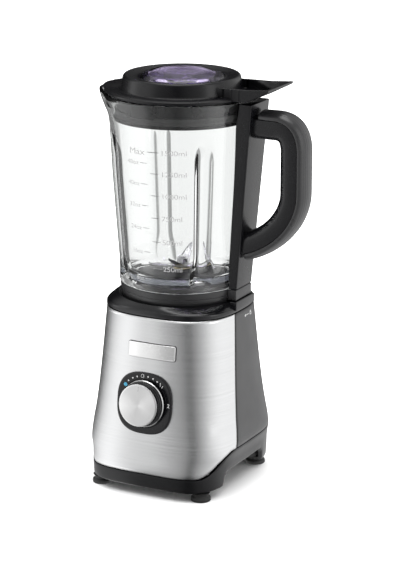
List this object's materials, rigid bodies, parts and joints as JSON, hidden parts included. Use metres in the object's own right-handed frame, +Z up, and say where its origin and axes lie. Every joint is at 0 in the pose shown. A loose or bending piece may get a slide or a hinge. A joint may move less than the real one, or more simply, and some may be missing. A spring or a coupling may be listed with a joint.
{
  "type": "countertop blender",
  "caption": "Countertop blender: motor base with a front dial, glass jug with a side handle on a screw-in blade unit, lid with a thumb tray and a clear filler cap.",
  "frame": {"origin": "centre of the whole object's box at the height of the feet", "axes": "+X towards the handle, -Y towards the dial, +Z up along the jug's axis"},
  "size_m": [0.2288, 0.1752, 0.4152],
  "materials": {
    "black_plastic": "satin moulded plastic",
    "gloss_black": "polished moulded plastic",
    "grey_plastic": "fine satin texture",
    "brushed_steel": "brushed across",
    "spun_aluminium": "spun face with a bright edge",
    "blade_steel": "polished stainless steel",
    "plain_steel": "zinc-plated steel",
    "brass": "turned brass bearing",
    "copper": "enamelled copper wire",
    "carbon": "pressed carbon",
    "rubber": "soft moulded rubber",
    "glass": "clear pressed glass",
    "tinted_clear": "clear plastic with a violet tint",
    "circuit_board": "lacquered board"
  },
  "bodies": {
    "motor_base": {"skirt": "black_plastic", "bottom_cover": "black_plastic", "base_housing": "black_plastic", "switch_body": "black_plastic", "interlock_switch": "black_plastic", "brush_holder_left": "black_plastic", "brush_holder_right": "black_plastic", "top_cover": "gloss_black", "dial_plate": "gloss_black", "body_cover": "grey_plastic", "front_panel": "brushed_steel", "badge_plate": "spun_aluminium", "upper_bracket": "plain_steel", "lower_bracket": "plain_steel", "upper_bearing": "plain_steel", "lower_bearing": "plain_steel", "motor_post_front": "plain_steel", "motor_post_rear": "plain_steel", "stator_core": "plain_steel", "base_screw_front_left": "plain_steel", "base_screw_front_right": "plain_steel", "base_screw_rear_left": "plain_steel", "base_screw_rear_right": "plain_steel", "field_coil_front": "copper", "field_coil_rear": "copper", "carbon_brush_left": "carbon", "carbon_brush_right": "carbon", "foot_front_left": "rubber", "foot_front_right": "rubber", "foot_rear_left": "rubber", "foot_rear_right": "rubber", "cord_gland": "rubber", "control_board": "circuit_board"},
    "rotor": {"motor_shaft": "plain_steel", "rotor_core": "plain_steel", "armature_winding_upper": "copper", "armature_winding_lower": "copper", "commutator": "copper", "cooling_fan": "black_plastic", "drive_coupling": "black_plastic"},
    "knob": {"knob_body": "gloss_black", "knob_cap": "spun_aluminium", "switch_shaft": "plain_steel"},
    "interlock": {"interlock_pin": "black_plastic"},
    "blade_unit": {"blade_collar": "black_plastic", "seal_ring": "rubber", "blade_bush": "brass"},
    "blades": {"blade_shaft": "blade_steel", "driven_coupling": "black_plastic", "blade_lower": "blade_steel", "blade_upper": "blade_steel", "blade_nut": "blade_steel"},
    "jug": {"glass_jug": "glass", "handle_body": "black_plastic", "handle_cover": "grey_plastic"},
    "lid": {"lid_body": "black_plastic", "lid_seal": "rubber"},
    "filler_cap": {"filler_cap": "tinted_clear"}
  },
  "joints": [
    {"name": "motor_spin", "type": "hinge", "parent": "motor_base", "child": "rotor", "pos_m": [-0.0233, 0.00626, 0.12], "axis": [0, 0, 1], "continuous": true},
    {"name": "knob_turn", "type": "hinge", "parent": "motor_base", "child": "knob", "pos_m": [-0.0243, -0.0705, 0.0945], "axis": [0, 0.9938, -0.111], "range_deg": [-53, 90]},
    {"name": "jug_lift", "type": "slide", "parent": "motor_base", "child": "blade_unit", "axis": [0, 0, 1], "range_m": [0, 0.12]},
    {"name": "interlock_rise", "type": "slide", "parent": "motor_base", "child": "interlock", "axis": [0, 0, 1], "range_m": [0, 0.003]},
    {"name": "blade_spin", "type": "hinge", "parent": "blade_unit", "child": "blades", "pos_m": [-0.0233, 0.00626, 0.215], "axis": [0, 0, 1], "continuous": true},
    {"name": "jug_unscrew", "type": "hinge", "parent": "blade_unit", "child": "jug", "pos_m": [-0.0233, 0.00626, 0.203], "axis": [0, 0, 1], "range_deg": [0, 60]},
    {"name": "lid_lift", "type": "slide", "parent": "jug", "child": "lid", "axis": [0, 0, 1], "range_m": [0, 0.09]},
    {"name": "filler_cap_lift", "type": "slide", "parent": "lid", "child": "filler_cap", "axis": [0, 0, 1], "range_m": [0, 0.05]}
  ],
  "couplings": [
    {"joint": "blade_spin", "follows": "motor_spin", "ratio": 1},
    {"joint": "interlock_rise", "follows": "jug_lift", "ratio": 0.025}
  ]
}
